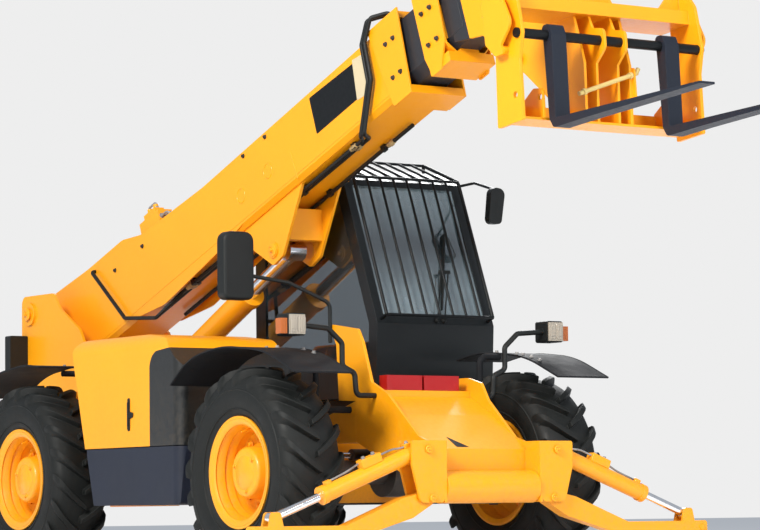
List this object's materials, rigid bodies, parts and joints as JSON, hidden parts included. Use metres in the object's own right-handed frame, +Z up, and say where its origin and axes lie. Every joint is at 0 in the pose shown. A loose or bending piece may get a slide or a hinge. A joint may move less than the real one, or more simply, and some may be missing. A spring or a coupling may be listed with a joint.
{
  "type": "telehandler",
  "caption": "Four-wheel-steer telescopic handler with side cab, three-stage boom, fork carriage and folding front stabilisers.",
  "frame": {"origin": "on the ground, midway along the machine's length and on its centreline", "axes": "+X forward, +Y to the machine's left, +Z up"},
  "size_m": [7.8008, 3.452, 3.4947],
  "materials": {
    "yellow_paint": "satin",
    "boom_grey": "satin",
    "black_steel": "satin",
    "black_plastic": "matte",
    "cab_grey": "satin",
    "fork_steel": "satin",
    "rod_chrome": "polished",
    "tyre": "matte",
    "cast_iron": "matte",
    "glass": "clear",
    "lamp_glass": "clear",
    "amber": "gloss",
    "red": "gloss"
  },
  "bodies": {
    "chassis": {"amber_lenses": "amber", "boom_tower": "yellow_paint", "cab_frame": "cab_grey", "cab_glass": "glass", "cab_interior": "black_plastic", "chassis": "yellow_paint", "counterweight": "yellow_paint", "engine_block": "cast_iron", "engine_pod": "black_plastic", "front_axle": "cast_iron", "front_frame": "yellow_paint", "fuel_tank": "black_plastic", "lamp_housings": "black_plastic", "lamp_lenses": "lamp_glass", "mirrors": "black_plastic", "mudguards": "black_plastic", "rear_axle": "cast_iron", "red_blocks": "red", "screen_guard": "black_steel", "transmission": "cast_iron"},
    "boom_outer": {"boom_outer": "yellow_paint", "boom_pipes": "black_plastic", "valve_block": "yellow_paint"},
    "boom_middle": {"boom_middle": "boom_grey"},
    "boom_inner": {"boom_inner": "boom_grey"},
    "carriage": {"carriage": "yellow_paint", "fork_shaft": "black_steel"},
    "fork_left": {"fork_left": "fork_steel"},
    "fork_right": {"fork_right": "fork_steel"},
    "lift_barrel": {"lift_barrel": "yellow_paint"},
    "lift_rod": {"lift_rod": "rod_chrome"},
    "tilt_barrel": {"tilt_barrel": "yellow_paint"},
    "tilt_rod": {"tilt_rod": "rod_chrome"},
    "engine_cover": {"engine_cover": "yellow_paint"},
    "cab_door": {"cab_door": "cab_grey", "door_glass": "glass"},
    "tie_rod_front": {"tie_rod_front": "rod_chrome"},
    "tie_rod_rear": {"tie_rod_rear": "rod_chrome"},
    "knuckle_front_left": {"knuckle_front_left": "cast_iron"},
    "wheel_front_left": {"tyre_front_left": "tyre", "rim_front_left": "yellow_paint"},
    "knuckle_rear_left": {"knuckle_rear_left": "cast_iron"},
    "wheel_rear_left": {"tyre_rear_left": "tyre", "rim_rear_left": "yellow_paint"},
    "leg_left": {"leg_left": "yellow_paint"},
    "foot_left": {"foot_left": "yellow_paint"},
    "leg_barrel_left": {"leg_barrel_left": "yellow_paint"},
    "leg_rod_left": {"leg_rod_left": "rod_chrome"},
    "knuckle_front_right": {"knuckle_front_right": "cast_iron"},
    "wheel_front_right": {"tyre_front_right": "tyre", "rim_front_right": "yellow_paint"},
    "knuckle_rear_right": {"knuckle_rear_right": "cast_iron"},
    "wheel_rear_right": {"tyre_rear_right": "tyre", "rim_rear_right": "yellow_paint"},
    "leg_right": {"leg_right": "yellow_paint"},
    "foot_right": {"foot_right": "yellow_paint"},
    "leg_barrel_right": {"leg_barrel_right": "yellow_paint"},
    "leg_rod_right": {"leg_rod_right": "rod_chrome"}
  },
  "joints": [
    {"name": "steer_front_left", "type": "hinge", "parent": "chassis", "child": "knuckle_front_left", "pos_m": [0.469, 0.735, 0.62], "axis": [0, 0, 1], "range_deg": [-32, 32]},
    {"name": "roll_front_left", "type": "hinge", "parent": "knuckle_front_left", "child": "wheel_front_left", "pos_m": [0.469, 0.935, 0.62], "axis": [0, 1, 0], "continuous": true},
    {"name": "steer_front_right", "type": "hinge", "parent": "chassis", "child": "knuckle_front_right", "pos_m": [0.469, -0.735, 0.62], "axis": [0, 0, 1], "range_deg": [-32, 32]},
    {"name": "roll_front_right", "type": "hinge", "parent": "knuckle_front_right", "child": "wheel_front_right", "pos_m": [0.469, -0.935, 0.62], "axis": [0, 1, 0], "continuous": true},
    {"name": "tie_rod_front_slide", "type": "slide", "parent": "chassis", "child": "tie_rod_front", "axis": [0, 1, 0], "range_m": [-0.1071, 0.1071]},
    {"name": "steer_rear_left", "type": "hinge", "parent": "chassis", "child": "knuckle_rear_left", "pos_m": [-2.281, 0.735, 0.62], "axis": [0, 0, 1], "range_deg": [-32, 32]},
    {"name": "roll_rear_left", "type": "hinge", "parent": "knuckle_rear_left", "child": "wheel_rear_left", "pos_m": [-2.281, 0.935, 0.62], "axis": [0, 1, 0], "continuous": true},
    {"name": "steer_rear_right", "type": "hinge", "parent": "chassis", "child": "knuckle_rear_right", "pos_m": [-2.281, -0.735, 0.62], "axis": [0, 0, 1], "range_deg": [-32, 32]},
    {"name": "roll_rear_right", "type": "hinge", "parent": "knuckle_rear_right", "child": "wheel_rear_right", "pos_m": [-2.281, -0.935, 0.62], "axis": [0, 1, 0], "continuous": true},
    {"name": "tie_rod_rear_slide", "type": "slide", "parent": "chassis", "child": "tie_rod_rear", "axis": [0, 1, 0], "range_m": [-0.1071, 0.1071]},
    {"name": "boom_lift", "type": "hinge", "parent": "chassis", "child": "boom_outer", "pos_m": [-3.531, 0, 1.8], "axis": [0, -1, 0], "range_deg": [-21, 48]},
    {"name": "boom_extend_middle", "type": "slide", "parent": "boom_outer", "child": "boom_middle", "axis": [0.9397, 0, 0.342], "range_m": [0, 1.95]},
    {"name": "boom_extend_inner", "type": "slide", "parent": "boom_middle", "child": "boom_inner", "axis": [0.9397, 0, 0.342], "range_m": [0, 1.95]},
    {"name": "carriage_tilt", "type": "hinge", "parent": "boom_inner", "child": "carriage", "pos_m": [2.00918, 0, 2.92255], "axis": [0, -1, 0], "range_deg": [-50, 14]},
    {"name": "fork_left_slide", "type": "slide", "parent": "carriage", "child": "fork_left", "axis": [0, 1, 0], "range_m": [-0.12, 0.15]},
    {"name": "fork_right_slide", "type": "slide", "parent": "carriage", "child": "fork_right", "axis": [0, -1, 0], "range_m": [-0.12, 0.15]},
    {"name": "tilt_barrel_swing", "type": "hinge", "parent": "boom_inner", "child": "tilt_barrel", "pos_m": [1.15216, 0, 3.25977], "axis": [0, -1, 0], "range_deg": [-5.02, 1.41]},
    {"name": "tilt_rod_slide", "type": "slide", "parent": "tilt_barrel", "child": "tilt_rod", "axis": [0.9988, 0, -0.0483], "range_m": [-0.06648, 0.23485]},
    {"name": "lift_barrel_swing", "type": "hinge", "parent": "chassis", "child": "lift_barrel", "pos_m": [-2.731, 0, 1.08], "axis": [0, -1, 0], "range_deg": [-22.28, 50.91]},
    {"name": "lift_rod_slide", "type": "slide", "parent": "lift_barrel", "child": "lift_rod", "axis": [0.9082, 0, 0.4185], "range_m": [-0.3611, 0.82409]},
    {"name": "leg_left_fold", "type": "hinge", "parent": "chassis", "child": "leg_left", "pos_m": [1.409, 0.433, 0.455], "axis": [1, 0, 0], "range_deg": [-8, 56]},
    {"name": "foot_left_swivel", "type": "hinge", "parent": "leg_left", "child": "foot_left", "pos_m": [1.409, 1.576, 0.268], "axis": [1, 0, 0], "range_deg": [-25, 25]},
    {"name": "leg_barrel_left_swing", "type": "hinge", "parent": "chassis", "child": "leg_barrel_left", "pos_m": [1.409, 0.46, 0.735], "axis": [1, 0, 0], "range_deg": [-8.34, 58.3]},
    {"name": "leg_rod_left_slide", "type": "slide", "parent": "leg_barrel_left", "child": "leg_rod_left", "axis": [0, 0.935, -0.3546], "range_m": [-0.2571, 0.03759]},
    {"name": "leg_right_fold", "type": "hinge", "parent": "chassis", "child": "leg_right", "pos_m": [1.409, -0.433, 0.455], "axis": [-1, 0, 0], "range_deg": [-8, 56]},
    {"name": "foot_right_swivel", "type": "hinge", "parent": "leg_right", "child": "foot_right", "pos_m": [1.409, -1.576, 0.268], "axis": [-1, 0, 0], "range_deg": [-25, 25]},
    {"name": "leg_barrel_right_swing", "type": "hinge", "parent": "chassis", "child": "leg_barrel_right", "pos_m": [1.409, -0.46, 0.735], "axis": [-1, 0, 0], "range_deg": [-8.34, 58.3]},
    {"name": "leg_rod_right_slide", "type": "slide", "parent": "leg_barrel_right", "child": "leg_rod_right", "axis": [0, -0.935, -0.3546], "range_m": [-0.2571, 0.03759]},
    {"name": "engine_cover_hinge", "type": "hinge", "parent": "chassis", "child": "engine_cover", "pos_m": [-1.511, -0.312, 1.45], "axis": [-1, 0, 0], "range_deg": [0, 60]},
    {"name": "cab_door_hinge", "type": "hinge", "parent": "chassis", "child": "cab_door", "pos_m": [-1.173, 1.161, 1.6], "axis": [0, 0, 1], "range_deg": [0, 95]}
  ],
  "couplings": [
    {"joint": "steer_front_right", "follows": "steer_front_left", "ratio": 1},
    {"joint": "tie_rod_front_slide", "follows": "steer_front_left", "m_per_rad": -0.19},
    {"joint": "steer_rear_right", "follows": "steer_rear_left", "ratio": 1},
    {"joint": "tie_rod_rear_slide", "follows": "steer_rear_left", "m_per_rad": 0.19},
    {"joint": "boom_extend_inner", "follows": "boom_extend_middle", "ratio": 1},
    {"joint": "tilt_barrel_swing", "follows": "carriage_tilt", "ratio": 0.10019},
    {"joint": "tilt_rod_slide", "follows": "carriage_tilt", "m_per_rad": -0.26797},
    {"joint": "lift_barrel_swing", "follows": "boom_lift", "ratio": 1.0605},
    {"joint": "lift_rod_slide", "follows": "boom_lift", "m_per_rad": 0.9825},
    {"joint": "leg_barrel_left_swing", "follows": "leg_left_fold", "ratio": 1.0408},
    {"joint": "leg_rod_left_slide", "follows": "leg_left_fold", "m_per_rad": -0.26203},
    {"joint": "leg_barrel_right_swing", "follows": "leg_right_fold", "ratio": 1.0408},
    {"joint": "leg_rod_right_slide", "follows": "leg_right_fold", "m_per_rad": -0.26203}
  ]
}
